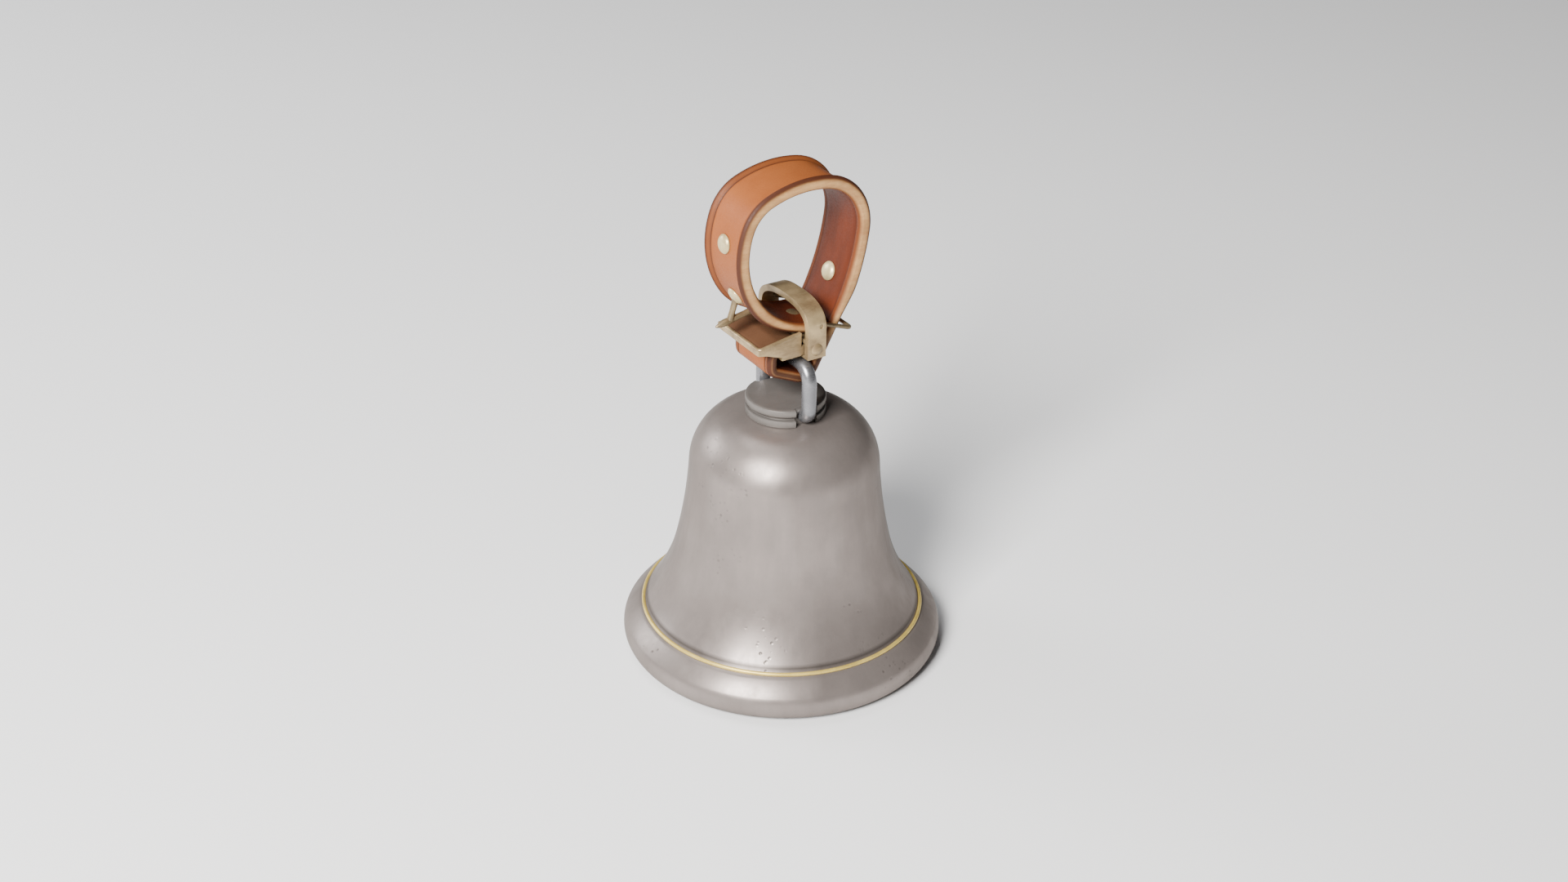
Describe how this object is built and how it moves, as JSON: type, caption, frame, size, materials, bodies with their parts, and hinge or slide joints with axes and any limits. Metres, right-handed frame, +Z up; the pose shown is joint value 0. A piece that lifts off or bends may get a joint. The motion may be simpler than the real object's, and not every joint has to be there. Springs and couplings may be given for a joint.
{
  "type": "hand bell",
  "caption": "Waisted metal hand bell with a hanging clapper, a hinged bail on the crown and a buckled leather carrying strap.",
  "frame": {"origin": "centre of the bell mouth on the plane the lip rests on", "axes": "+Z up the bell's axis, X across the hand loop of the strap, Y along the strap's width and the bail's top bar"},
  "size_m": [0.125, 0.125, 0.1985],
  "materials": {
    "bell_metal": "cast bell metal, satin and slightly pitted",
    "boss_metal": "turned bell metal, satin",
    "inlay_brass": "polished brass line",
    "inner_steel": "plain turned steel",
    "clapper_steel": "plain turned steel",
    "clapper_metal": "cast ball, satin",
    "bail_steel": "smooth bright round bar",
    "strap_leather": "tan harness leather, burnished edges",
    "inlay_leather": "dark brown leather pad",
    "rivet_brass": "pale domed caps",
    "wire_brass": "drawn brass wire, aged",
    "buckle_brass": "antique brass, rubbed bright on the edges"
  },
  "bodies": {
    "bell": {"bell_shell": "bell_metal", "inlay_ring": "inlay_brass", "bail_boss": "boss_metal", "crown_washer": "inner_steel", "crown_nut": "inner_steel", "clapper_clevis": "inner_steel", "clapper_pin": "inner_steel", "pin_clip": "inner_steel"},
    "clapper": {"clapper_rod": "clapper_steel", "clapper_ball": "clapper_metal", "clapper_nut": "clapper_steel"},
    "bail": {"bail": "bail_steel"},
    "strap": {"strap": "strap_leather", "rivet_caps": "rivet_brass", "rivet_posts": "rivet_brass", "strap_hook": "wire_brass", "buckle_frame": "buckle_brass", "frame_rivets": "rivet_brass", "lever_pin": "buckle_brass"},
    "lever": {"lever_plate": "buckle_brass", "lever_inlay": "inlay_leather"},
    "keeper": {"keeper_wire": "wire_brass"}
  },
  "joints": [
    {"name": "clapper_swing", "type": "hinge", "parent": "bell", "child": "clapper", "pos_m": [0, 0, 0.074], "axis": [0, 1, 0], "range_deg": [-28, 28]},
    {"name": "bail_swing", "type": "hinge", "parent": "bell", "child": "bail", "pos_m": [0, 0, 0.1047], "axis": [0, 1, 0], "range_deg": [-20, 20]},
    {"name": "strap_swing", "type": "hinge", "parent": "bail", "child": "strap", "pos_m": [0, 0, 0.1252], "axis": [0, 1, 0], "range_deg": [-50, 50]},
    {"name": "lever_lift", "type": "hinge", "parent": "strap", "child": "lever", "pos_m": [0.0021, 0, 0.1331], "axis": [0, 1, 0], "range_deg": [0, 12]},
    {"name": "keeper_swing", "type": "hinge", "parent": "strap", "child": "keeper", "pos_m": [0.0039, 0, 0.142], "axis": [0, 1, 0], "range_deg": [-22, 38]}
  ]
}
